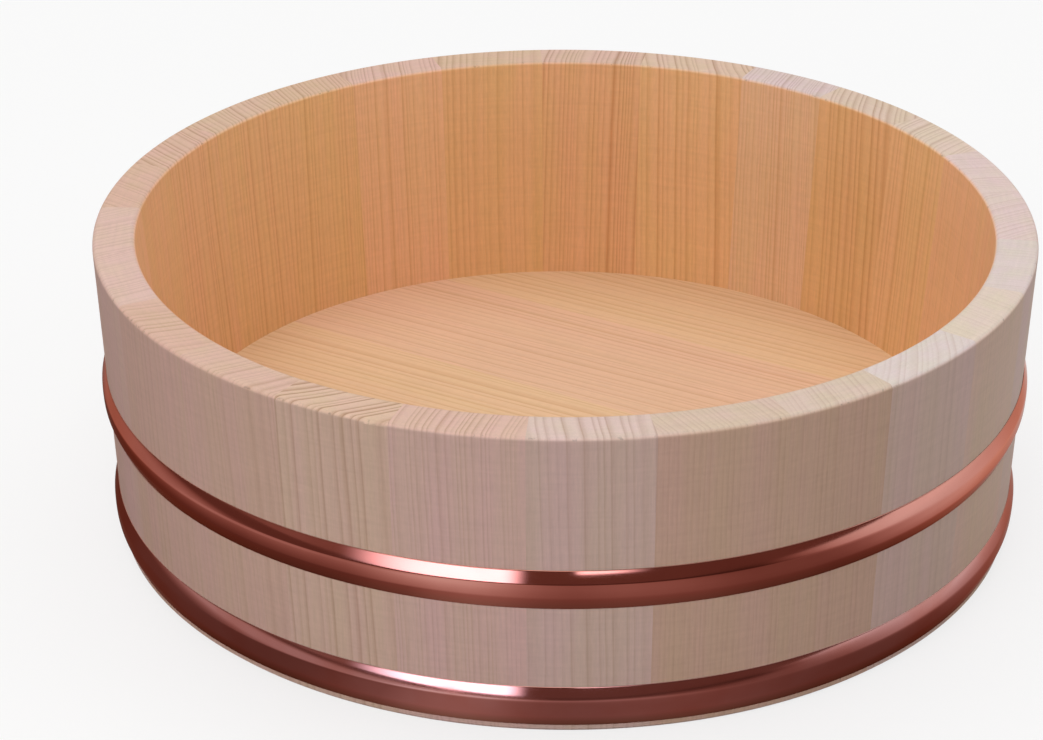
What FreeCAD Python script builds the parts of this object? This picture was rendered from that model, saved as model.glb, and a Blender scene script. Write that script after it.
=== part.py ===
import FreeCAD, Part
import math
import os

import Sketcher

# Hangiri: a coopered tub for cooling and seasoning sushi rice.
# Staves stand in a ring on edge, pegged to each other through their joints.
# The floor is driven into a croze, a groove cut round the inside of the staves,
# and two copper hoops are driven up from the narrower foot until they bind.
# Frame: Z up, origin in the middle of the foot ring, the photographed side towards -Y.
# Lengths are millimetres, turns are degrees, heights are taken from the foot.

Vector = FreeCAD.Vector
UP = Vector(0, 0, 1)

SIZES = {
    # the wall: across the outside of the rim, and how much the radius shrinks down to the foot
    "rim_diameter": 270.0,
    "foot_taper": 3.2,
    "tub_height": 89.0,
    "rim_thickness": 12.0,
    "wall_thickness_at_floor": 15.0,
    "rim_round": 1.3,
    "foot_bevel": 1.0,
    # the floor, its edge pared from below to fit the croze
    "floor_height": 16.2,
    "floor_thickness": 10.0,
    "floor_paring": 6.0,
    "croze_width": 7.0,
    "croze_depth": 2.6,
    "croze_gap": 0.15,
    "plank_angle": 150.0,
    # the hoops, with a crowned outside
    "hoop_crown": 1.55,
    "hoop_edge": 0.2,
    "hoop_gap": 0.05,
    "upper_hoop_bottom": 38.6,
    "upper_hoop_width": 11.6,
    "lower_hoop_bottom": 2.3,
    "lower_hoop_width": 12.0,
    # the bamboo pegs in the joints
    "peg_diameter": 3.0,
    "peg_length": 15.0,
    "peg_point": 1.2,
    "peg_side_gap": 0.05,
    "peg_end_gap": 0.5,
    "low_peg_height": 27.0,
    "high_peg_height": 66.0,
    "floor_peg_spacing": 96.0,
    # where the first stave starts, and the share of the ring that each stave takes
    "first_joint_angle": 266.0,
}

# No two staves are alike: shares of the ring, counter-clockwise from the first joint.
STAVE_SHARES = (14.0, 15.0, 13.5, 15.0, 14.5, 15.0, 14.5, 14.0, 13.0, 14.5, 13.5, 16.0, 15.0,
                15.5, 14.5, 13.0, 14.0, 13.5, 14.0, 14.0, 15.0, 15.0, 15.0, 14.0, 15.0)
STAVES = [f"stave_{number:02d}" for number in range(1, len(STAVE_SHARES) + 1)]
SIZES.update({f"{name}_share": share for name, share in zip(STAVES, STAVE_SHARES)})

# The floor's planks, as shares of its width
PLANK_SHARES = (44.0, 52.0, 47.0, 54.0, 43.0)
PLANKS = [f"floor_plank_{number}" for number in range(1, len(PLANK_SHARES) + 1)]
SIZES.update({f"{name}_share": share for name, share in zip(PLANKS, PLANK_SHARES)})

document = FreeCAD.newDocument("hangiri")
sheet = document.addObject("Spreadsheet::Sheet", "Sizes")
for row, (alias, value) in enumerate(SIZES.items(), start=1):
    sheet.set(f"A{row}", str(value))
    sheet.setAlias(f"A{row}", alias)
document.recompute()


def size(name):
    """An expression that reads one cell of the sheet."""
    return f"Sizes.{name}"


def value_of(expression):
    return float(sheet.evalExpression(expression))


def total(names):
    """The sum of what the sheet holds for some names, 0 for none."""
    return "(" + " + ".join(["0"] + [size(name) for name in names]) + ")"


def shares(names):
    return [f"{name}_share" for name in names]


# What several pieces share, as expressions on the sheet

RIM_RADIUS = f"({size('rim_diameter')} / 2)"
RIM_INSIDE = f"({RIM_RADIUS} - {size('rim_thickness')})"


def wall_outside(height):
    """Radius of the tapered outside of the wall at a height."""
    return f"({RIM_RADIUS} - {size('foot_taper')} * (1 - ({height}) / {size('tub_height')}))"


FLOOR_TOP = size("floor_height")
FLOOR_BOTTOM = f"({FLOOR_TOP} - {size('floor_thickness')})"
CROZE_BOTTOM = f"({FLOOR_TOP} - {size('croze_width')})"
WELL_RADIUS = f"({wall_outside(FLOOR_TOP)} - {size('wall_thickness_at_floor')})"
FLOOR_RADIUS = f"({WELL_RADIUS} + {size('croze_depth')})"


def wall_inside(height):
    """Radius of the sloping inside of the wall at a height above the floor."""
    rise = f"(({height}) - {FLOOR_TOP}) / ({size('tub_height')} - {FLOOR_TOP})"
    return f"({WELL_RADIUS} + ({RIM_INSIDE} - {WELL_RADIUS}) * {rise})"


def middle_of_wall(height):
    return f"(({wall_outside(height)} + {wall_inside(height)}) / 2)"


def stave_sweep(index):
    """Angle that a stave takes of the ring."""
    return f"(360 * {total(shares([STAVES[index]]))} / {total(shares(STAVES))})"


def joint_turn(index):
    """Turn of the joint at which a stave starts."""
    before = f"360 * {total(shares(STAVES[:index]))} / {total(shares(STAVES))}"
    return f"({size('first_joint_angle')} + {before})"


# Sketching


def new_body(name):
    body = document.addObject("PartDesign::Body", name)
    body.Label = name
    return body


def origin_plane(body, role):
    return next(plane for plane in body.Origin.OriginFeatures if plane.Role == role)


def upright_sketch(body, name):
    """A sketch on the XZ plane: across is the radius, up is the height."""
    sketch = body.newObject("Sketcher::SketchObject", name)
    sketch.AttachmentSupport = (origin_plane(body, "XZ_Plane"), "")
    sketch.MapMode = "FlatFace"
    return sketch


def place_point(sketch, curve, vertex, across, up, name):
    """Hold a vertex at an (across, up) pair of expressions."""
    for kind, expression in (("DistanceX", across), ("DistanceY", up)):
        distance = Sketcher.Constraint(kind, -1, 1, curve, vertex, value_of(expression))
        constraint = sketch.addConstraint(distance)
        sketch.renameConstraint(constraint, f"{name}_{kind}")
        sketch.setExpression(f"Constraints.{name}_{kind}", expression)


def at(across, up):
    return Vector(value_of(across), value_of(up), 0)


def draw_outline(sketch, corners):
    """Draw a closed outline of straight lines through (across, up) corners."""
    points = [at(across, up) for across, up in corners]
    count = len(points)
    for index in range(count):
        sketch.addGeometry(Part.LineSegment(points[index], points[(index + 1) % count]))
    for index in range(count):
        sketch.addConstraint(Sketcher.Constraint("Coincident", index, 2, (index + 1) % count, 1))
    for index, (across, up) in enumerate(corners):
        place_point(sketch, index, 1, across, up, f"corner_{index}")


def revolve(body, sketch, name, sweep):
    """Turn a sketch about the upright axis, half the sweep to each side."""
    solid = body.newObject("PartDesign::Revolution", name)
    solid.Profile = sketch
    solid.ReferenceAxis = (sketch, ["V_Axis"])
    solid.setExpression("Angle", sweep)
    solid.Midplane = True
    document.recompute()
    return solid


def round_edges_at(solid, height):
    """Names of the edges that run round the tub at a height."""
    names = []
    for number, edge in enumerate(solid.Shape.Edges, start=1):
        box = edge.BoundBox
        level = abs(box.ZMin - height) < 1e-6 and abs(box.ZMax - height) < 1e-6
        if level and isinstance(edge.Curve, Part.Circle):
            names.append(f"Edge{number}")
    return names


# Staves


def make_stave(index):
    """One stave: a plank planed to the curve of the tub inside and out.

    Its edges are planed to the radius so that each joint closes along its whole face.
    The croze is cut across the inside for the floor, the rim is rounded over, and each
    edge is bored for two pegs.
    """
    name = STAVES[index]
    body = new_body(name)
    sweep = stave_sweep(index)

    profile = upright_sketch(body, f"{name}_profile")
    croze_radius = f"({FLOOR_RADIUS} + {size('croze_gap')})"
    draw_outline(profile, [
        (wall_outside("0"), "0"),
        (RIM_RADIUS, size("tub_height")),
        (RIM_INSIDE, size("tub_height")),
        (WELL_RADIUS, FLOOR_TOP),
        (croze_radius, FLOOR_TOP),
        (croze_radius, CROZE_BOTTOM),
        (WELL_RADIUS, CROZE_BOTTOM),
        (WELL_RADIUS, "0"),
    ])
    plank = revolve(body, profile, f"{name}_plank", sweep)

    rim = body.newObject("PartDesign::Fillet", f"{name}_rim")
    rim.Base = (plank, round_edges_at(plank, value_of(size("tub_height"))))
    rim.setExpression("Radius", size("rim_round"))
    document.recompute()

    foot = body.newObject("PartDesign::Chamfer", f"{name}_foot")
    foot.Base = (rim, round_edges_at(rim, 0))
    foot.setExpression("Size", size("foot_bevel"))
    document.recompute()

    # Bores square to the edge, then the same in the other edge
    edge = upright_sketch(body, f"{name}_edge")
    edge.AttachmentOffset = FreeCAD.Placement(Vector(), FreeCAD.Rotation(Vector(0, 1, 0), 1))
    edge.setExpression("AttachmentOffset.Rotation.Angle", f"{sweep} / 2")
    bore_radius = f"({size('peg_diameter')} / 2 + {size('peg_side_gap')})"
    for hole, level in enumerate(("low_peg_height", "high_peg_height")):
        middle = middle_of_wall(size(level))
        circle = Part.Circle(at(middle, size(level)), UP, value_of(bore_radius))
        edge.addGeometry(circle)
        place_point(edge, hole, 3, middle, size(level), f"bore_{hole}")
        radius = edge.addConstraint(Sketcher.Constraint("Radius", hole, value_of(bore_radius)))
        edge.renameConstraint(radius, f"bore_{hole}_radius")
        edge.setExpression(f"Constraints.bore_{hole}_radius", bore_radius)
    bores = body.newObject("PartDesign::Pocket", f"{name}_bores")
    bores.Profile = edge
    bores.setExpression("Length", f"{size('peg_length')} / 2 + {size('peg_end_gap')}")
    bores.Reversed = True
    document.recompute()

    other_edge = body.newObject("PartDesign::Mirrored", f"{name}_other_bores")
    other_edge.Originals = [bores]
    other_edge.MirrorPlane = (origin_plane(body, "XZ_Plane"), [""])
    body.Tip = other_edge

    body.Placement = FreeCAD.Placement(Vector(), FreeCAD.Rotation(UP, 1))
    body.setExpression("Placement.Rotation.Angle", f"{joint_turn(index)} + {sweep} / 2")
    document.recompute()
    bored = foot.Shape.Volume - body.Shape.Volume
    one_bore = math.pi * value_of(bore_radius) ** 2 * bores.Length.Value
    assert abs(bored - 4 * one_bore) < 0.01 * bored, f"{name}: the bores missed the wood"
    return body


# Hoops


def make_hoop(name, bottom, width):
    """One hoop: a copper strip, flat inside to the taper of the wall and crowned outside."""
    body = new_body(name)
    top = f"({bottom} + {width})"
    middle = f"({bottom} + {width} / 2)"
    seat = {level: f"({wall_outside(level)} + {size('hoop_gap')})" for level in (bottom, middle, top)}
    inner_low = (seat[bottom], bottom)
    outer_low = (f"{seat[bottom]} + {size('hoop_edge')}", bottom)
    crown = (f"{seat[middle]} + {size('hoop_crown')}", middle)
    outer_high = (f"{seat[top]} + {size('hoop_edge')}", top)
    inner_high = (seat[top], top)

    section = upright_sketch(body, f"{name}_section")
    section.addGeometry(Part.LineSegment(at(*inner_high), at(*inner_low)))
    section.addGeometry(Part.LineSegment(at(*inner_low), at(*outer_low)))
    section.addGeometry(Part.Arc(at(*outer_low), at(*crown), at(*outer_high)))
    section.addGeometry(Part.LineSegment(at(*outer_high), at(*inner_high)))
    section.addGeometry(Part.Point(at(*crown)), True)
    for index in range(4):
        section.addConstraint(Sketcher.Constraint("Coincident", index, 2, (index + 1) % 4, 1))
    section.addConstraint(Sketcher.Constraint("PointOnObject", 4, 1, 2))
    place_point(section, 0, 1, *inner_high, "inner_high")
    place_point(section, 1, 1, *inner_low, "inner_low")
    place_point(section, 1, 2, *outer_low, "outer_low")
    place_point(section, 3, 1, *outer_high, "outer_high")
    place_point(section, 4, 1, *crown, "crown")
    revolve(body, section, f"{name}_ring", "360")
    return body


# Floor


def make_floor_round():
    """The floor as one round, thinner towards its edge where it is pared for the croze."""
    body = new_body("floor_round")
    profile = upright_sketch(body, "floor_profile")
    edge_bottom = f"({size('floor_thickness')} - {size('croze_width')})"
    draw_outline(profile, [
        ("0", "0"),
        (f"{WELL_RADIUS} - {size('floor_paring')}", "0"),
        (WELL_RADIUS, edge_bottom),
        (FLOOR_RADIUS, edge_bottom),
        (FLOOR_RADIUS, size("floor_thickness")),
        ("0", size("floor_thickness")),
    ])
    revolve(body, profile, "floor_disc", "360")
    return body


def plank_start(index):
    """How far across the floor a plank starts, from the middle."""
    before = f"{total(shares(PLANKS[:index]))} / {total(shares(PLANKS))}"
    return f"((2 * {before} - 1) * {FLOOR_RADIUS})"


def make_floor_plank(index, floor_round, bores):
    """One plank of the floor, sawn to the round with the others and bored for their pegs."""
    name = PLANKS[index]
    strip = document.addObject("Part::Box", f"{name}_strip")
    strip.setExpression("Length", f"2 * {FLOOR_RADIUS}")
    strip.setExpression("Width", f"{plank_start(index + 1)} - {plank_start(index)}")
    strip.setExpression("Height", size("floor_thickness"))
    strip.setExpression("Placement.Base.x", f"-{FLOOR_RADIUS}")
    strip.setExpression("Placement.Base.y", plank_start(index))

    sawn = document.addObject("Part::Common", f"{name}_sawn")
    sawn.Base = floor_round
    sawn.Tool = strip
    plank = document.addObject("Part::Cut", name)
    plank.Base = sawn
    plank.Tool = bores
    plank.Label = name
    plank.Placement = FreeCAD.Placement(Vector(), FreeCAD.Rotation(UP, 1))
    plank.setExpression("Placement.Rotation.Angle", size("plank_angle"))
    plank.setExpression("Placement.Base.z", FLOOR_BOTTOM)
    return plank


def floor_peg_seats():
    """Where the floor's pegs lie, in the floor's own frame: two across each joint."""
    middle = value_of(size("floor_thickness")) / 2
    half_spacing = value_of(size("floor_peg_spacing")) / 2
    along_y = FreeCAD.Rotation(UP, 90)
    return [FreeCAD.Placement(Vector(along, value_of(plank_start(index)), middle), along_y)
            for index in range(1, len(PLANKS))
            for along in (-half_spacing, half_spacing)]


# Pegs


def stave_peg_seats():
    """Where the pegs of the wall lie: two through each joint, square to it."""
    seats = []
    for index in range(len(STAVES)):
        turn = FreeCAD.Rotation(UP, value_of(joint_turn(index)))
        for level in ("low_peg_height", "high_peg_height"):
            middle = Vector(value_of(middle_of_wall(size(level))), 0, value_of(size(level)))
            across = turn.multiply(FreeCAD.Rotation(UP, 90))
            seats.append(FreeCAD.Placement(turn.multVec(middle), across))
    return seats


def bamboo_peg():
    """A split bamboo peg along X, pared to eight flats and to a blunt point at each end."""
    radius = value_of(size("peg_diameter")) / 2
    half_length = value_of(size("peg_length")) / 2
    shoulder = half_length - value_of(size("peg_point"))
    reach = {-half_length: radius / 2, -shoulder: radius, shoulder: radius, half_length: radius / 2}
    sections = []
    for along, away in reach.items():
        corners = [FreeCAD.Rotation(Vector(1, 0, 0), turn).multVec(Vector(along, away, 0))
                   for turn in range(0, 360, 45)]
        sections.append(Part.makePolygon([*corners, corners[0]]))
    return Part.makeLoft(sections, True, True)


def peg_bore():
    """The bore that one peg needs, half of it in each of the two pieces that it joins."""
    radius = value_of(size("peg_diameter")) / 2 + value_of(size("peg_side_gap"))
    half_length = value_of(size("peg_length")) / 2 + value_of(size("peg_end_gap"))
    return Part.makeCylinder(radius, 2 * half_length, Vector(-half_length, 0, 0), Vector(1, 0, 0))


def make_group(name, solid, seats):
    """Copies of one solid at a list of seats, as separate solids of one object."""
    group = document.addObject("Part::Feature", name)
    group.Label = name
    group.Shape = Part.makeCompound([solid.transformed(seat.toMatrix(), True) for seat in seats])
    return group


# The tub, put together

staves = [make_stave(index) for index in range(len(STAVES))]

upper_hoop = make_hoop("upper_hoop", size("upper_hoop_bottom"), size("upper_hoop_width"))
lower_hoop = make_hoop("lower_hoop", size("lower_hoop_bottom"), size("lower_hoop_width"))

floor_round = make_floor_round()
floor_bores = make_group("floor_peg_bores", peg_bore(), floor_peg_seats())
planks = [make_floor_plank(index, floor_round, floor_bores) for index in range(len(PLANKS))]

stave_pegs = make_group("stave_pegs", bamboo_peg(), stave_peg_seats())
floor_pegs = make_group("floor_pegs", bamboo_peg(), floor_peg_seats())
floor_pegs.Placement = FreeCAD.Placement(Vector(0, 0, value_of(FLOOR_BOTTOM)),
                                         FreeCAD.Rotation(UP, value_of(size("plank_angle"))))

document.recompute()

# Check every object, then write the pieces

for thing in document.Objects:
    assert not {"Invalid", "Error"} & set(thing.State), f"{thing.Name} did not build"

pieces = [*staves, *planks, upper_hoop, lower_hoop, stave_pegs, floor_pegs]
for piece in pieces:
    assert not piece.Shape.isNull() and piece.Shape.isValid(), f"{piece.Label} is not a sound solid"

os.makedirs("parts", exist_ok=True)
for piece in pieces:
    piece.Shape.exportStep(f"parts/{piece.Label}.step")
    print(f"{piece.Label}: {len(piece.Shape.Solids)} solid(s), {piece.Shape.Volume / 1000:.2f} cm3")
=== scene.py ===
import math

import bpy
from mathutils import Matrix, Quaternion, Vector


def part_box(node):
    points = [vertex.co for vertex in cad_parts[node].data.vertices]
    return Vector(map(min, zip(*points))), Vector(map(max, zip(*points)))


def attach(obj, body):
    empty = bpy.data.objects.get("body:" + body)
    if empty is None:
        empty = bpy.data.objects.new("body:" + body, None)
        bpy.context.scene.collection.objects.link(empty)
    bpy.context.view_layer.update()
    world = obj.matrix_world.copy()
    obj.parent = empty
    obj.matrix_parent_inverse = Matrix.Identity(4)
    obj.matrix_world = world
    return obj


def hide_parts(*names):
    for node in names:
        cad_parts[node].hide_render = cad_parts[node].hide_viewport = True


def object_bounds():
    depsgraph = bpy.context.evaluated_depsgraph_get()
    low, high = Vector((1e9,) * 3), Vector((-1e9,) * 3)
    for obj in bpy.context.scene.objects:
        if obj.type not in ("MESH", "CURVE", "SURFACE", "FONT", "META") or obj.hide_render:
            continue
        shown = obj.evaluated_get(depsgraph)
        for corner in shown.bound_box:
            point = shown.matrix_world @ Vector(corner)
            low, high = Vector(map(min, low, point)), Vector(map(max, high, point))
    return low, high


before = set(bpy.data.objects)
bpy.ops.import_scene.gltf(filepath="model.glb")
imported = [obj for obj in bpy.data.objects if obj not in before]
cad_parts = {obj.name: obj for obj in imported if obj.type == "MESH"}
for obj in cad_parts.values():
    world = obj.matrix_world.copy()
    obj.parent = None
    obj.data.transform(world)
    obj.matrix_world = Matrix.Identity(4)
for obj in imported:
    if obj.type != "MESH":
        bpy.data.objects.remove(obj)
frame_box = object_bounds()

# THE STAVES
# Twenty-five staves of pale sawara cypress, split and planed to the radius so that each joint
# closes. No two come from the same place in the log, so each shows its own growth rings:
# slanting lines of end grain on the rim that run on as upright grain down both faces.

# How the wood looks inside, where it is cut across, and outside: first the wood of early
# summer, then the thin dark lines of late summer. The inside colour is warmer and deeper, a
# painted glow of light thrown about inside the tub; the outside colour is partly painted shade
STAVE_INSIDE_PAINTED_BOUNCE = ((0.800, 0.510, 0.275), (0.630, 0.340, 0.145))
STAVE_END_GRAIN = ((0.720, 0.525, 0.425), (0.440, 0.260, 0.170))
SAPWOOD_END_GRAIN = ((0.765, 0.672, 0.620), (0.560, 0.410, 0.340))
STAVE_OUTSIDE_PAINTED_SHADE = ((0.632, 0.454, 0.374), (0.515, 0.342, 0.266))

# Tints of the single boards
TINTS = {
    "straw": (1.01, 1.00, 0.93),
    "rose": (1.01, 0.96, 0.99),
    "peach": (0.98, 0.92, 0.88),
    "honey": (0.97, 0.94, 0.84),
    "ash": (0.98, 0.99, 1.02),
    "tan": (0.92, 0.86, 0.77),
    "pale": (0.99, 1.03, 1.16),
}

# For each stave: tint, lean of its rings on the rim in degrees, width of a ring in
# millimetres, how dark the late wood is, and how much pale sapwood it has
STAVES = {
    "stave_01": ("ash", 183, 2.7, 0.8, 0.4),
    "stave_02": ("tan", 13, 1.5, 0.5, 0.8),
    "stave_03": ("tan", -12, 1.6, 0.5, 1.0),
    "stave_04": ("ash", -50, 1.9, 0.45, 1.0),
    "stave_05": ("straw", -14, 1.8, 0.3, 0.9),
    "stave_06": ("ash", 4, 1.6, 0.25, 0.9),
    "stave_07": ("rose", 30, 1.8, 0.5, 0.9),
    "stave_08": ("rose", -6, 1.7, 0.5, 0.9),
    "stave_09": ("straw", 19, 1.9, 0.8, 0.7),
    "stave_10": ("honey", 38, 2.2, 1.0, 0.7),
    "stave_11": ("pale", 14, 1.3, 0.8, 0.4),
    "stave_12": ("straw", 25, 2.1, 0.9, 0.2),
    "stave_13": ("peach", -4, 1.7, 1.0, 0.2),
    "stave_14": ("honey", -10, 2.4, 0.7, 0.1),
    "stave_15": ("rose", -17, 1.6, 0.8, 0.0),
    "stave_16": ("honey", -14, 1.5, 0.8, 0.0),
    "stave_17": ("honey", -16, 1.9, 0.9, 0.1),
    "stave_18": ("peach", -25, 2.0, 0.9, 0.0),
    "stave_19": ("peach", -30, 2.0, 0.45, 0.0),
    "stave_20": ("rose", 25, 2.0, 0.5, 0.2),
    "stave_21": ("rose", 15, 1.8, 0.45, 0.2),
    "stave_22": ("peach", -16, 2.6, 0.6, 0.0),
    "stave_23": ("peach", -20, 1.9, 0.5, 0.1),
    "stave_24": ("straw", -41, 2.2, 1.25, 0.0),
    "stave_25": ("rose", 174, 1.6, 0.7, 0.0),
}

MILLIMETRES = 1000.0        # in one metre
LOG_RADIUS = 0.16           # how far the heart of the log lies from the middle of a board
LOG_ASKEW = 0.02            # how steeply it runs off along the fibres, at most
RING_SWAY = 2.2             # how far the rings wander, in millimetres
YEAR_CHANGES = 0.16         # how often good years turn to poor ones, to the millimetre
YEAR_SHIFT = 5.0            # how far this moves the rings, in millimetres
LATE_WOOD = ((0.12, 0.0), (0.45, 0.08), (0.78, 0.55), (0.90, 1.0))      # place in a ring, and darkness
YEARS_MEET = 0.35           # how dark it still is where the next year begins
FAINT_YEAR = 0.4            # how dark the faintest year is beside the darkest

# How far the surface has turned where one side's colours give way to the other's, and where
# both give way to the end grain
SIDE_TO_SIDE = (-0.3, 0.3)
SIDE_TO_END = (0.25, 0.85)

ROSY = (1.02, 0.965, 0.99)
STRAWY = (0.99, 0.98, 0.92)
USUAL_NOISE = (0.3, 0.7)    # nearly all of a noise lies between these
ROSY_TO_STRAWY = (0.36, 0.64)           # how high the noise is where one gives way to the other
CHIPPED = (0.62, 0.68)      # how high the noise is where a chip begins and where it is whole
FIBRE_SHADE = 0.20          # how much fibres, specks and chips lighten or darken the wood
SPECK_SHADE = 0.10
CHIP_SHADE = 1.3
EDGE_PAINTED_HIGHLIGHT = 0.50         # how much paler the rounded edges are painted, a painted highlight
WOOD_ROUGHNESS = (0.52, 0.68)
RING_RELIEF = 0.5           # how high the rings and the plane's marks stand beside the fibres
PLANE_RELIEF = 0.6
GRAIN_DEPTH = 0.00006

# How many streaks there are to the millimetre across, and how much longer they are along the fibres
SWAYS = (0.035, 3.5)
DRIFTS = (0.13, 9.0)
FIBRES = (2.6, 40.0)
SPECKS = (1.4, 3.0)
CHIPS = (0.55, 1.0)
PLANE_MARKS = (0.9, 1.0)
PLANE_ACROSS = 0.06         # the marks of the plane have only this share of that number across


def add_node(tree, kind, inputs=(), **settings):
    """One shader node. Inputs are numbers, colours or the outputs that feed them."""
    made = tree.nodes.new(kind)
    for name, value in settings.items():
        setattr(made, name, value)
    for socket, value in dict(inputs).items():
        if isinstance(value, bpy.types.NodeSocket):
            tree.links.new(value, made.inputs[socket])
        else:
            made.inputs[socket].default_value = value
    return made


def work_out(tree, operation, *values, clamp=False):
    """The result of one arithmetic node."""
    inputs = dict(enumerate(values))
    return add_node(tree, "ShaderNodeMath", inputs, operation=operation, use_clamp=clamp).outputs[0]


def spread(tree, value, low, high, to_low=0.0, to_high=1.0, curve="LINEAR"):
    """A value between low and high, spread out between two others and held there."""
    inputs = {0: value, 1: low, 2: high, 3: to_low, 4: to_high}
    return add_node(tree, "ShaderNodeMapRange", inputs, interpolation_type=curve).outputs[0]


def part_along(tree, vector, direction):
    """How much of a vector lies along a direction."""
    inputs = {0: vector, 1: direction}
    return add_node(tree, "ShaderNodeVectorMath", inputs, operation="DOT_PRODUCT").outputs["Value"]


def streaks(tree, across, through, along, scale, stretch, detail=2.0, seed=0.0):
    """Noise drawn out along the fibres: scale per millimetre across, stretch times longer along."""
    point = add_node(tree, "ShaderNodeCombineXYZ", {
        0: work_out(tree, "MULTIPLY", across, scale * MILLIMETRES),
        1: work_out(tree, "MULTIPLY", through, scale * MILLIMETRES),
        2: work_out(tree, "MULTIPLY_ADD", along, scale * MILLIMETRES / stretch, seed),
    }).outputs[0]
    noise = add_node(tree, "ShaderNodeTexNoise", {"Vector": point, "Scale": 1.0, "Detail": detail})
    return noise.outputs["Fac"]


def grey(brightness):
    """A grey for the stop of a colour ramp."""
    return (brightness, brightness, brightness, 1.0)


def blend_colours(tree, amount, first, second, how="MIX"):
    """Two colours mixed, or one multiplied by the other."""
    mix = add_node(tree, "ShaderNodeMix", data_type="RGBA", blend_type=how)
    for socket, value in ((0, amount), (6, first), (7, second)):
        if isinstance(value, bpy.types.NodeSocket):
            tree.links.new(value, mix.inputs[socket])
        else:
            mix.inputs[socket].default_value = value if socket == 0 else (*value, 1.0)
    return mix.outputs[2]


def cypress(name, directions, middle, sides, tint, lean, ring_width, lateness, seed,
            planed=0.12, patchy=1.0):
    """Planed cypress with its growth rings running right through the piece.

    Directions are the unit vectors across, through and along the fibres; middle is where the
    piece lies across and through, in metres; sides are its colours on the side that the
    through direction points to, on the side opposite and on the end grain; lean turns the
    rings from the through direction; ring_width is in millimetres and lateness says how dark
    the late wood is. Planed is how far the marks of the plane show, and patchy how far the
    wood drifts in colour.
    """
    material = bpy.data.materials.new(name)
    material.use_nodes = True
    tree = material.node_tree
    surface = tree.nodes["Principled BSDF"]
    position = add_node(tree, "ShaderNodeTexCoord").outputs
    across, through, along = (part_along(tree, position["Object"], way) for way in directions)

    # The heart of the log, a little askew to the fibres and off to one side of the piece
    lean = math.radians(lean)
    heart_across = middle[0] - LOG_RADIUS * math.cos(lean)
    heart_through = middle[1] + LOG_RADIUS * math.sin(lean)
    askew = LOG_ASKEW * math.sin(seed)
    sway = streaks(tree, across, through, along, *SWAYS, seed=seed)
    sway = work_out(tree, "MULTIPLY", work_out(tree, "SUBTRACT", sway, 0.5), RING_SWAY)
    from_heart = add_node(tree, "ShaderNodeCombineXYZ", {
        0: work_out(tree, "SUBTRACT", across, heart_across),
        1: work_out(tree, "SUBTRACT", through, heart_through),
    }).outputs[0]
    grown = add_node(tree, "ShaderNodeVectorMath", {0: from_heart}, operation="LENGTH").outputs["Value"]
    grown = work_out(tree, "MULTIPLY_ADD", along, askew, grown)
    grown = work_out(tree, "MULTIPLY_ADD", grown, MILLIMETRES, sway)

    # Good and poor years: the rings come closer and further apart
    years = add_node(tree, "ShaderNodeTexNoise", {
        "W": work_out(tree, "MULTIPLY_ADD", grown, YEAR_CHANGES, seed), "Scale": 1.0, "Detail": 1.0,
    }, noise_dimensions="1D").outputs["Fac"]
    ring = work_out(tree, "DIVIDE", work_out(tree, "MULTIPLY_ADD", years, YEAR_SHIFT, grown), ring_width)
    late = add_node(tree, "ShaderNodeValToRGB", {"Fac": work_out(tree, "FRACT", ring)})
    late.color_ramp.interpolation = "EASE"
    stops = late.color_ramp.elements
    stops[0].color = stops[1].color = grey(YEARS_MEET)
    for place, value in LATE_WOOD:
        stops.new(place).color = grey(value)
    this_year = add_node(tree, "ShaderNodeTexWhiteNoise", {
        "W": work_out(tree, "ADD", work_out(tree, "FLOOR", ring), seed),
    }, noise_dimensions="1D").outputs["Value"]
    darkness = work_out(tree, "MULTIPLY_ADD", this_year, 1 - FAINT_YEAR, FAINT_YEAR)
    late_wood = work_out(tree, "MULTIPLY", late.outputs[0], darkness)
    late_wood = work_out(tree, "MULTIPLY", late_wood, lateness, clamp=True)

    # Which side of the piece this is
    far_side = spread(tree, part_along(tree, position["Normal"], directions[1]), *SIDE_TO_SIDE)
    end_grain = part_along(tree, position["Normal"], directions[2])
    end_grain = spread(tree, work_out(tree, "ABSOLUTE", end_grain), *SIDE_TO_END)
    far, near, ends = sides
    early_colour = blend_colours(tree, far_side, near[0], far[0])
    early_colour = blend_colours(tree, end_grain, early_colour, ends[0])
    late_colour = blend_colours(tree, far_side, near[1], far[1])
    late_colour = blend_colours(tree, end_grain, late_colour, ends[1])

    # Slow drifts from rosy to straw, fine fibres, and the faint marks of the plane across them
    drift = streaks(tree, across, through, along, *DRIFTS, detail=3.0, seed=seed + 3.0)
    fibres = streaks(tree, across, through, along, *FIBRES, detail=3.0, seed=seed + 7.0)
    specks = streaks(tree, across, through, along, *SPECKS, detail=4.0, seed=seed + 11.0)
    wide = work_out(tree, "MULTIPLY", across, PLANE_ACROSS)
    marks = streaks(tree, wide, through, along, *PLANE_MARKS, seed=seed)
    colour = blend_colours(tree, late_wood, early_colour, late_colour)
    colour = blend_colours(tree, 1.0, colour, TINTS[tint], "MULTIPLY")
    rosy_to_straw = blend_colours(tree, spread(tree, drift, *ROSY_TO_STRAWY), ROSY, STRAWY)
    colour = blend_colours(tree, patchy, colour, rosy_to_straw, "MULTIPLY")
    fine = work_out(tree, "ADD", work_out(tree, "MULTIPLY_ADD", fibres, FIBRE_SHADE, 1 - FIBRE_SHADE / 2),
                    work_out(tree, "MULTIPLY_ADD", specks, SPECK_SHADE, -SPECK_SHADE / 2))
    fine = work_out(tree, "ADD", fine, work_out(tree, "MULTIPLY_ADD", marks, planed, -planed / 2))
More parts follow.
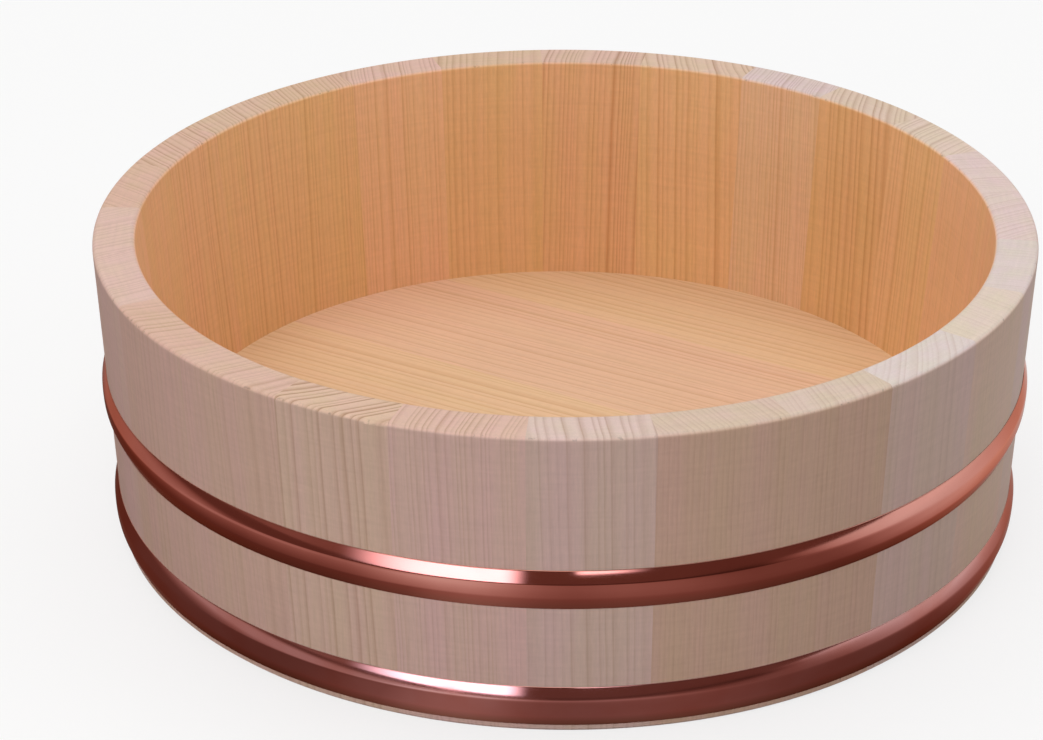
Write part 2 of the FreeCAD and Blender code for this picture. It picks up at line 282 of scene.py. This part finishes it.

    # The rounded cut edges are painted a little paler, a painted highlight, with tiny dark chips out of them
    edge = work_out(tree, "MULTIPLY", end_grain, work_out(tree, "SUBTRACT", 1.0, end_grain))
    chips = streaks(tree, across, through, along, *CHIPS, detail=3.0, seed=seed + 19.0)
    chips = work_out(tree, "MULTIPLY", spread(tree, chips, *CHIPPED), -CHIP_SHADE)
    fine = work_out(tree, "MULTIPLY_ADD", edge, work_out(tree, "ADD", chips, EDGE_PAINTED_HIGHLIGHT), fine)
    shade = add_node(tree, "ShaderNodeCombineColor", {0: fine, 1: fine, 2: fine}).outputs[0]
    colour = blend_colours(tree, 1.0, colour, shade, "MULTIPLY")
    tree.links.new(colour, surface.inputs["Base Color"])

    tree.links.new(spread(tree, fibres, *USUAL_NOISE, *WOOD_ROUGHNESS), surface.inputs["Roughness"])
    surface.inputs["Specular IOR Level"].default_value = 0.3
    relief = work_out(tree, "ADD", work_out(tree, "MULTIPLY", late_wood, RING_RELIEF),
                      work_out(tree, "ADD", fibres, work_out(tree, "MULTIPLY", marks, PLANE_RELIEF)))
    bump = add_node(tree, "ShaderNodeBump", {"Strength": 0.5, "Distance": GRAIN_DEPTH, "Height": relief})
    tree.links.new(bump.outputs[0], surface.inputs["Normal"])
    return material


def dress(node, material):
    """A finished surface all over a piece."""
    node.data.materials.clear()
    node.data.materials.append(material)


def between(share, first, second):
    """A pair of colours part of the way from one pair to another."""
    return tuple(tuple(a + share * (b - a) for a, b in zip(*pair)) for pair in zip(first, second))


for number, (name, (*grain, sapwood)) in enumerate(STAVES.items(), start=1):
    low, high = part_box(name)
    outward = (low + high) / 2
    outward.z = 0.0
    wall_middle = outward.length
    outward.normalize()
    sideways = Vector((-outward.y, outward.x, 0.0))
    directions = (sideways, outward, Vector((0.0, 0.0, 1.0)))
    # The inside colour carries painted warm bounce light, and the outside colour partly painted shade
    sides = (STAVE_OUTSIDE_PAINTED_SHADE, STAVE_INSIDE_PAINTED_BOUNCE, between(sapwood, STAVE_END_GRAIN, SAPWOOD_END_GRAIN))
    wood = cypress(f"{name}_wood", directions, (0.0, wall_middle), sides, *grain, seed=17.0 * number)
    dress(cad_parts[name], wood)

# THE FLOOR
# Five planks of the same cypress, pegged edge to edge, sawn round and driven into the croze.
# They are sawn so that the rings stand upright, which leaves fine straight grain for the
# rice paddle to slide on. They lie slantwise to the side that the photograph shows.

# The top side's warm, deep colour is a painted glow of light thrown about inside the tub
FLOOR_TOP_PAINTED_BOUNCE = ((0.825, 0.588, 0.395), (0.690, 0.435, 0.255))
FLOOR_UNDERSIDE = ((0.640, 0.450, 0.330), (0.500, 0.320, 0.210))
PLANK_TURN = math.radians(150)

# For each plank, the same as for a stave, without sapwood
PLANKS = {
    "floor_plank_1": ("straw", 4, 2.9, 0.9),
    "floor_plank_2": ("rose", -8, 2.4, 1.0),
    "floor_plank_3": ("straw", 6, 2.8, 1.0),
    "floor_plank_4": ("rose", -5, 2.5, 0.9),
    "floor_plank_5": ("straw", 9, 2.9, 0.8),
}
PLANK_ALONG = Vector((math.cos(PLANK_TURN), math.sin(PLANK_TURN), 0.0))
PLANK_ACROSS = Vector((-PLANK_ALONG.y, PLANK_ALONG.x, 0.0))

for number, (name, grain) in enumerate(PLANKS.items(), start=1):
    low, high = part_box(name)
    middle = (low + high) / 2
    directions = (PLANK_ACROSS, Vector((0.0, 0.0, 1.0)), PLANK_ALONG)
    # The top side's colour carries painted warm bounce light
    sides = (FLOOR_TOP_PAINTED_BOUNCE, FLOOR_UNDERSIDE, STAVE_END_GRAIN)
    wood = cypress(f"{name}_wood", directions, (middle.dot(PLANK_ACROSS), middle.z), sides, *grain,
                   seed=500.0 + 13.0 * number, planed=0.04, patchy=0.5)
    dress(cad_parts[name], wood)

# THE HOOPS
# Two strips of copper, rolled with a flat middle and shoulders that slope to thin edges, bent
# into rings, brazed end to end and polished. They are driven up from the narrower foot until
# they bind, and hold the staves together without glue.

RIM_RADIUS = (frame_box[1][0] - frame_box[0][0]) / 2
TUB_HEIGHT = frame_box[1][2]
FOOT_TAPER = 0.0032         # how much less the wall's radius is at the foot
HOOP_GAP = 0.00005          # between the strip and the wall
HOOP_CROWN = 0.00155        # thickness of the strip in the middle
HOOP_WORN_EDGE = 0.00008    # how far the corners of the strip are rubbed round
CROWN_STEPS = 40
CORNER_STEPS = 4
HOOP_STEPS = 288
SHARP_ANGLE = math.radians(40)

# How steeply the strip thins, by the share of the way from its middle to its edge
HOOP_SLOPES = ((0.0, 0.0), (0.27, 0.055), (0.41, 0.318), (1.0, 0.398))

COPPER = {"upper_hoop": (0.600, 0.240, 0.195), "lower_hoop": (0.595, 0.302, 0.288)}
COPPER_DULL = (0.530, 0.195, 0.155)     # under the clouds of tarnish
COPPER_EDGE_ON = (0.78, 0.42, 0.32)     # its colour where it is seen almost along the surface
# Brown along the edges of the strips: partly tarnish, partly painted shade, a painted dark reflection of the
# shaded table near the tub's foot
COPPER_BROWN_AND_SHADE = (0.310, 0.180, 0.130)
BROWNED_AND_SHADED = {"upper_hoop": 0.6, "lower_hoop": 0.9}    # how brown and dark they are at their lower edge: partly tarnish, partly painted shade
BROWN_AND_SHADE_TOP = 0.5                       # and at their upper edge, the same mix of tarnish and painted shade
BROWN_HEIGHT = (0.0008, 0.0040)         # from the lower edge, where it begins to thin and where it ends
BROWN_DEPTH = 0.0005                    # from the upper edge
BROWN_RAGGED = 0.0012                   # how far the clouds of tarnish push the brown down
CLOUDS = 38.0                           # of tarnish, to the metre
DULL_CLOUDS = (0.40, 0.75)              # how high the noise is where a cloud begins and where it is whole
ROUGH_CLOUDS = (0.45, 0.75)
CLOUD_ROUGHNESS = 0.05
SCRATCHES_ROUND = 9.0                   # to the radian
SCRATCHES_UP = 9000.0                   # to the metre
COPPER_ROUGHNESS = (0.05, 0.09)         # between the scratches and in them
FILM = 0.2                              # how much clear film the polish has left on it
FILM_ROUGHNESS = 0.06
BRAZE = (0.660, 0.520, 0.410)
BRAZE_SHOWS = 0.8
BRAZE_TURN = math.radians(74)
BRAZE_WIDTH = 0.0035                    # radians
BRAZE_SLANT = 1.4                       # radians to the metre of height


def slope_at(share):
    """How steeply the strip thins at a share of the way from its middle to its edge."""
    for (near, first), (far, last) in zip(HOOP_SLOPES, HOOP_SLOPES[1:]):
        if share <= far:
            return first + (last - first) * (share - near) / (far - near)


def hoop_section(bottom, top):
    """Radius and height round a hoop's section, up its crowned outside and down its flat inside."""
    middle, half = (bottom + top) / 2, (top - bottom) / 2
    shares = [step / CROWN_STEPS for step in range(CROWN_STEPS + 1)]
    thickness = [HOOP_CROWN]
    for share, following in zip(shares, shares[1:]):
        thinning = (slope_at(share) + slope_at(following)) / 2
        thickness.append(thickness[-1] - thinning * (following - share) * half)

    def off_wall(height, distance):
        """A point so far off the wall, which leans outwards."""
        return (RIM_RADIUS - FOOT_TAPER * (1 - height / TUB_HEIGHT) + HOOP_GAP + distance, height)

    def rubbed(start, corner, finish):
        """Points that leave out a corner in a smooth curve."""
        points = []
        for share in (step / CORNER_STEPS for step in range(CORNER_STEPS + 1)):
            left = 1 - share
            points.append(tuple(left ** 2 * a + 2 * share * left * b + share ** 2 * c
                                for a, b, c in zip(start, corner, finish)))
        return points

    upper = [off_wall(middle + share * half, off) for share, off in zip(shares, thickness)]
    lower = [off_wall(middle - share * half, off) for share, off in zip(shares, thickness)]
    low, high = lower.pop(), upper.pop()
    under, over = (low[0] - HOOP_WORN_EDGE, bottom), (high[0] - HOOP_WORN_EDGE, top)
    return [off_wall(bottom, 0.0), *rubbed(under, low, lower.pop()), *reversed(lower),
            *upper[1:-1], *rubbed(upper[-1], high, over), off_wall(top, 0.0)]


def hoop_ring(name, section):
    """The section carried all the way round the tub."""
    vertices = [(radius * math.cos(turn), radius * math.sin(turn), height)
                for turn in (math.tau * step / HOOP_STEPS for step in range(HOOP_STEPS))
                for radius, height in section]
    count = len(section)
    faces = []
    for step in range(HOOP_STEPS):
        here, there = step * count, (step + 1) % HOOP_STEPS * count
        faces += [(here + point, there + point, there + (point + 1) % count, here + (point + 1) % count)
                  for point in range(count)]
    mesh = bpy.data.meshes.new(name)
    mesh.from_pydata(vertices, [], faces)
    mesh.shade_smooth()
    mesh.set_sharp_from_angle(angle=SHARP_ANGLE)
    ring = bpy.data.objects.new(name, mesh)
    bpy.context.scene.collection.objects.link(ring)
    return ring


def copper(name, shine, browned_and_shaded, low, high):
    """Polished copper with fine lines round the hoop and one brazed joint.

    It is shine where it is cleanest, and its third argument says how brown and dark it is at
    its lower edge, partly tarnish and partly a painted dark reflection of the shaded table;
    low and high are the heights of its edges.
    """
    material = bpy.data.materials.new(name)
    material.use_nodes = True
    tree = material.node_tree
    surface = tree.nodes["Principled BSDF"]
    place = add_node(tree, "ShaderNodeTexCoord").outputs["Object"]
    parts = add_node(tree, "ShaderNodeSeparateXYZ", {0: place}).outputs
    turn = work_out(tree, "ARCTAN2", parts[1], parts[0])
    cloud = add_node(tree, "ShaderNodeTexNoise", {"Vector": place, "Scale": CLOUDS, "Detail": 5.0})
    cloud = cloud.outputs["Fac"]
    round_the_hoop = add_node(tree, "ShaderNodeCombineXYZ", {
        0: work_out(tree, "MULTIPLY", turn, SCRATCHES_ROUND),
        1: work_out(tree, "MULTIPLY", parts[2], SCRATCHES_UP),
    }).outputs[0]
    scratches = add_node(tree, "ShaderNodeTexNoise", {"Vector": round_the_hoop, "Scale": 1.0, "Detail": 3.0})
    scratches = scratches.outputs["Fac"]
    from_foot = work_out(tree, "SUBTRACT", parts[2], low)
    ragged = work_out(tree, "MULTIPLY_ADD", cloud, BROWN_RAGGED, from_foot)
    from_top = work_out(tree, "SUBTRACT", high, parts[2])
    colour = blend_colours(tree, spread(tree, cloud, *DULL_CLOUDS), shine, COPPER_DULL)
    # Brown along the lower and upper edges, partly tarnish and partly painted shade
    brown_shade_below = spread(tree, ragged, *BROWN_HEIGHT, browned_and_shaded, 0.0)
    colour = blend_colours(tree, brown_shade_below, colour, COPPER_BROWN_AND_SHADE)
    brown_shade_above = spread(tree, from_top, 0.0, BROWN_DEPTH, BROWN_AND_SHADE_TOP, 0.0)
    colour = blend_colours(tree, brown_shade_above, colour, COPPER_BROWN_AND_SHADE)
    seam = work_out(tree, "MULTIPLY_ADD", from_foot, BRAZE_SLANT, BRAZE_TURN)
    off_seam = work_out(tree, "ABSOLUTE", work_out(tree, "SUBTRACT", turn, seam))
    on_seam = spread(tree, off_seam, BRAZE_WIDTH / 2, BRAZE_WIDTH, BRAZE_SHOWS, 0.0)
    colour = blend_colours(tree, on_seam, colour, BRAZE)
    tree.links.new(colour, surface.inputs["Base Color"])
    surface.inputs["Metallic"].default_value = 1.0
    rough = work_out(tree, "ADD", spread(tree, scratches, *USUAL_NOISE, *COPPER_ROUGHNESS),
                     spread(tree, cloud, *ROUGH_CLOUDS, 0.0, CLOUD_ROUGHNESS))
    tree.links.new(rough, surface.inputs["Roughness"])
    surface.inputs["Specular Tint"].default_value = (*COPPER_EDGE_ON, 1.0)
    surface.inputs["Coat Weight"].default_value = FILM
    surface.inputs["Coat Roughness"].default_value = FILM_ROUGHNESS
    return material


for name in ("upper_hoop", "lower_hoop"):
    low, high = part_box(name)
    hoop = hoop_ring(f"{name}_copper", hoop_section(low.z, high.z))
    dress(hoop, copper(f"{name}_finish", COPPER[name], BROWNED_AND_SHADED[name], low.z, high.z))
    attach(hoop, "root")
    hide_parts(name)

# THE PEGS
# Short pegs of split bamboo in the joints of the wall and of the floor. They keep the edges
# in line while the tub is put together, and nobody sees them again.

BAMBOO = (0.66, 0.52, 0.27)
BAMBOO_FIBRE = (0.46, 0.33, 0.15)
FIBRES_TO_METRE = 2500.0

bamboo = bpy.data.materials.new("split_bamboo")
bamboo.use_nodes = True
tree = bamboo.node_tree
place = add_node(tree, "ShaderNodeTexCoord").outputs["Object"]
bamboo_fibres = add_node(tree, "ShaderNodeTexNoise", {"Vector": place, "Scale": FIBRES_TO_METRE})
tree.links.new(blend_colours(tree, bamboo_fibres.outputs["Fac"], BAMBOO, BAMBOO_FIBRE),
               tree.nodes["Principled BSDF"].inputs["Base Color"])
tree.nodes["Principled BSDF"].inputs["Roughness"].default_value = 0.6
for name in ("stave_pegs", "floor_pegs"):
    dress(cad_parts[name], bamboo)

# THE TABLE
# A plain table top that looks white but throws little light back up at the tub. In the copper
# it shows painted light and shade: bright and dim parts, a painted shadow of the tub close to
# its foot, and the dark further out.

TABLE_HALF_WIDTH = 4.0
TABLE_WHITE = (0.90, 0.90, 0.90)
TABLE_GREY = (0.28, 0.28, 0.29)
TABLE_WHITENESS = 0.74      # share of plain white in the table as the camera sees it

# How bright the table looks in the copper, by degrees round from +X
TABLE_SHEEN = {
    -180: 0.55, -165: 0.58, -150: 0.54, -135: 0.50, -123: 0.49, -113: 0.98, -102: 0.92, -93: 0.30,
    -82: 0.43, -70: 0.37, -60: 0.25, -48: 0.25, -38: 0.37, -24: 0.82, -10: 0.95, 4: 0.97, 20: 0.80,
    60: 0.74, 110: 0.50, 140: 0.57, 160: 0.55, 180: 0.55,
}
SHADE_ON_LEFT = (0.175, 0.225)          # where the tub's painted shadow begins to thin and where it ends
SHADE_ON_RIGHT = (0.125, 0.185)
LEFT_TO_RIGHT = (-0.9, 0.95)            # how far to the right the first ends, and the second begins
NEAR_SHADE = (0.31, 0.68)               # how much light this shade leaves at the sides and in front
IN_FRONT = (0.276, -0.961, 0.0)         # where the shade is thinnest
SIDES_TO_FRONT = (0.78, 0.95)           # how much that way the sides lie at most, and the front at least
FAR_FROM_TUB = (0.35, 0.60)             # where the table's far parts begin, and where they are wholly so
FAR_SHADE = (0.28, 1.15)                # they are dark, but bright towards the window on the right
TOWARDS_WINDOW = (0.65, 0.85)           # how much to the right the dark lies at most, and the bright at least
SHADY = (1.00, 0.46, 0.35)              # the warm tint of its dim parts in the copper
SUNNY = (1.00, 1.10, 1.12)              # and the cool tint of its bright ones
SHADY_TO_SUNNY = (0.12, 1.0)            # how bright they are
NO_TINT = (1.0, 1.0, 1.0)

corners = [(-TABLE_HALF_WIDTH, -TABLE_HALF_WIDTH, 0), (TABLE_HALF_WIDTH, -TABLE_HALF_WIDTH, 0),
           (TABLE_HALF_WIDTH, TABLE_HALF_WIDTH, 0), (-TABLE_HALF_WIDTH, TABLE_HALF_WIDTH, 0)]
table_mesh = bpy.data.meshes.new("table_top")
table_mesh.from_pydata(corners, [], [(0, 1, 2, 3)])
table = bpy.data.objects.new("table_top", table_mesh)
bpy.context.scene.collection.objects.link(table)

white_top = bpy.data.materials.new("white_table")
white_top.use_nodes = True
tree = white_top.node_tree
surface = tree.nodes["Principled BSDF"]
surface.inputs["Roughness"].default_value = 0.8
surface.inputs["Specular IOR Level"].default_value = 0.2

# It is white as the camera sees it, and grey in the light that it throws back at the tub
ray = add_node(tree, "ShaderNodeLightPath").outputs
looked_at = work_out(tree, "MAXIMUM", ray["Is Camera Ray"], ray["Is Transmission Ray"])
tree.links.new(blend_colours(tree, looked_at, TABLE_GREY, TABLE_WHITE), surface.inputs["Base Color"])
plain_white = add_node(tree, "ShaderNodeEmission")

# In the copper it shows painted light and shade, bright and dim by turns, first by direction, then by
# distance
spot = add_node(tree, "ShaderNodeTexCoord").outputs["Object"]
from_tub = add_node(tree, "ShaderNodeVectorMath", {0: spot}, operation="LENGTH").outputs["Value"]
parts = add_node(tree, "ShaderNodeSeparateXYZ", {0: spot}).outputs
compass = spread(tree, work_out(tree, "ARCTAN2", parts[1], parts[0]), -math.pi, math.pi)
sheen = add_node(tree, "ShaderNodeValToRGB", {"Fac": compass})
sheen.color_ramp.interpolation = "B_SPLINE"
stops = sheen.color_ramp.elements
stops[0].color, stops[1].color = grey(TABLE_SHEEN[-180]), grey(TABLE_SHEEN[180])
for degrees, value in TABLE_SHEEN.items():
    if abs(degrees) < 180:
        stops.new((degrees + 180) / 360).color = grey(value)
way = add_node(tree, "ShaderNodeVectorMath", {0: spot}, operation="NORMALIZE").outputs[0]
left_in_shade = spread(tree, part_along(tree, way, IN_FRONT), *SIDES_TO_FRONT, *NEAR_SHADE)
to_the_right = part_along(tree, way, (1.0, 0.0, 0.0))
shade_edges = [spread(tree, to_the_right, *LEFT_TO_RIGHT, on_left, on_right)
               for on_left, on_right in zip(SHADE_ON_LEFT, SHADE_ON_RIGHT)]
near_level = spread(tree, from_tub, *shade_edges, left_in_shade, 1.0)
far_out = spread(tree, to_the_right, *TOWARDS_WINDOW, *FAR_SHADE)
far_level = spread(tree, from_tub, *FAR_FROM_TUB, 1.0, far_out)
sheen = work_out(tree, "MULTIPLY", sheen.outputs[0], near_level)
sheen = work_out(tree, "MULTIPLY", sheen, far_level)

# The dim parts are warm and the bright ones cool
sheen_tint = blend_colours(tree, spread(tree, sheen, *SHADY_TO_SUNNY), SHADY, SUNNY)
sheen_tint = blend_colours(tree, ray["Is Glossy Ray"], NO_TINT, sheen_tint)
tree.links.new(sheen_tint, plain_white.inputs["Color"])
sheen = add_node(tree, "ShaderNodeMix", {0: ray["Is Glossy Ray"], 2: 1.0, 3: sheen}).outputs[0]
tree.links.new(sheen, plain_white.inputs["Strength"])
whiteness = work_out(tree, "MULTIPLY", looked_at, TABLE_WHITENESS)
whiteness = work_out(tree, "MAXIMUM", whiteness, ray["Is Glossy Ray"])
shaders = {0: whiteness, 1: surface.outputs[0], 2: plain_white.outputs[0]}
mixed = add_node(tree, "ShaderNodeMixShader", shaders)
tree.links.new(mixed.outputs[0], tree.nodes["Material Output"].inputs["Surface"])
table_mesh.materials.append(white_top)

# THE LIGHT
# A broad window to the right, and softboxes in front, overhead and behind. Two more stand low
# in front: a long one on the left, which draws the bright strip along the hoops, and a small
# one a little to the right, which draws the short faint one beside it.

TUB_MIDDLE = Vector((0.0, 0.0, 0.05))


def soft_light(name, compass, height_angle, distance, width, height, radiance, colour,
               lean=0, fades=(0.02, 0.02)):
    """A glowing panel facing the tub, at so many degrees round from +X and above the table.

    Distance, width and height are in metres. Lean tips it over sideways, in degrees. Fades are
    the shares of its width over which it dims towards its left and its right end.
    """
    lamp = bpy.data.lights.new(name, "AREA")
    lamp.shape = "RECTANGLE"
    lamp.size, lamp.size_y = width, height
    lamp.energy = radiance * math.pi * width * height
    lamp.color = colour
    lamp.use_nodes = True
    tree = lamp.node_tree
    corner = add_node(tree, "ShaderNodeNewGeometry").outputs["Parametric"]
    along = add_node(tree, "ShaderNodeSeparateXYZ", {0: corner}).outputs[0]
    glow = work_out(tree, "MULTIPLY", spread(tree, along, 0.0, fades[0], curve="SMOOTHSTEP"),
                    spread(tree, along, 1.0 - fades[1], 1.0, 1.0, 0.0, "SMOOTHSTEP"))
    tree.links.new(glow, tree.nodes["Emission"].inputs["Strength"])
    panel = bpy.data.objects.new(name, lamp)
    compass, height_angle = math.radians(compass), math.radians(height_angle)
    level = math.cos(height_angle)
    away = Vector((math.cos(compass) * level, math.sin(compass) * level, math.sin(height_angle)))
    panel.location = TUB_MIDDLE + away * distance
    facing = away.to_track_quat("Z", "Y") @ Quaternion((0.0, 0.0, 1.0), math.radians(lean))
    panel.rotation_euler = facing.to_euler()
    bpy.context.scene.collection.objects.link(panel)


soft_light("softbox_front", -118.2, 3.6, 1.3, 1.00, 0.23, 4.0, (1.0, 1.0, 1.2), fades=(0.5, 0.15))
soft_light("softbox_front_right", -79, 9.8, 1.3, 0.40, 0.18, 3.0, (1.0, 1.0, 1.15), fades=(0.1, 0.7))
soft_light("softbox_front_above", -110, 40, 1.3, 1.00, 0.60, 3.0, (1.0, 0.98, 0.96))
soft_light("window_right", 13, 20, 1.6, 2.5, 1.1, 1.20, (0.90, 0.95, 1.0), lean=-20, fades=(0.15, 0.02))
soft_light("softbox_above", 90, 75, 1.4, 1.2, 1.0, 1.9, (1.0, 0.99, 0.97))
soft_light("softbox_back", 130, 30, 1.7, 1.2, 0.9, 1.2, (1.0, 0.98, 0.96))

ROOM_LIGHT = 0.32               # what the pale room gives the tub from all round
ROOM_WALL = (0.30, 0.17)        # how bright its walls look in the copper, left and right
WALL_LEFT_TO_RIGHT = (-0.8, -0.2)   # how far to the right the first ends, and the second begins
WALL_TO_CEILING = (0.35, 0.75)  # how steeply one looks up where the walls end and the ceiling begins

world = bpy.data.worlds.new("pale_room")
bpy.context.scene.world = world
world.use_nodes = True
tree = world.node_tree
ray = add_node(tree, "ShaderNodeLightPath").outputs
looked_at = work_out(tree, "MAXIMUM", ray["Is Camera Ray"], ray["Is Transmission Ray"])

# In the copper the walls are dim and the ceiling is bright
toward = add_node(tree, "ShaderNodeTexCoord").outputs["Generated"]
toward = add_node(tree, "ShaderNodeSeparateXYZ", {0: toward}).outputs
walls = spread(tree, toward[0], *WALL_LEFT_TO_RIGHT, *ROOM_WALL)
room = spread(tree, toward[2], *WALL_TO_CEILING, walls, 1.0, "SMOOTHSTEP")
room_tint = blend_colours(tree, spread(tree, room, *SHADY_TO_SUNNY), SHADY, SUNNY)
room_tint = blend_colours(tree, ray["Is Glossy Ray"], NO_TINT, room_tint)
room = add_node(tree, "ShaderNodeMix", {0: ray["Is Glossy Ray"], 2: ROOM_LIGHT, 3: room}).outputs[0]
room = add_node(tree, "ShaderNodeMix", {0: looked_at, 2: room, 3: 1.0}).outputs[0]
background = tree.nodes["Background"]
tree.links.new(room_tint, background.inputs["Color"])
tree.links.new(room, background.inputs["Strength"])

# THE CAMERA
# A long lens on a tripod, looking down on the tub from the side that the photograph shows. It
# is aimed a little to the left of the tub's middle, so the tub stands right of the picture's.

CAMERA_PLACE = Vector((0.0, -0.7628, 0.4286))
CAMERA_AIM = Vector((-0.0125, 0.0, 0.0389))
CAMERA_ROLL = -0.00275      # radians
CAMERA_LENS = 99.9          # millimetres
SENSOR_WIDTH = 36.0

camera_data = bpy.data.cameras.new("camera")
camera_data.lens = CAMERA_LENS
camera_data.sensor_width = SENSOR_WIDTH
camera_data.clip_start = 0.05
camera = bpy.data.objects.new("camera", camera_data)
camera.location = CAMERA_PLACE
upright = (CAMERA_AIM - CAMERA_PLACE).to_track_quat("-Z", "Y")
camera.rotation_euler = (upright @ Quaternion((0.0, 0.0, 1.0), CAMERA_ROLL)).to_euler()
bpy.context.scene.collection.objects.link(camera)
bpy.context.scene.camera = camera
bpy.context.scene.view_settings.view_transform = "Standard"
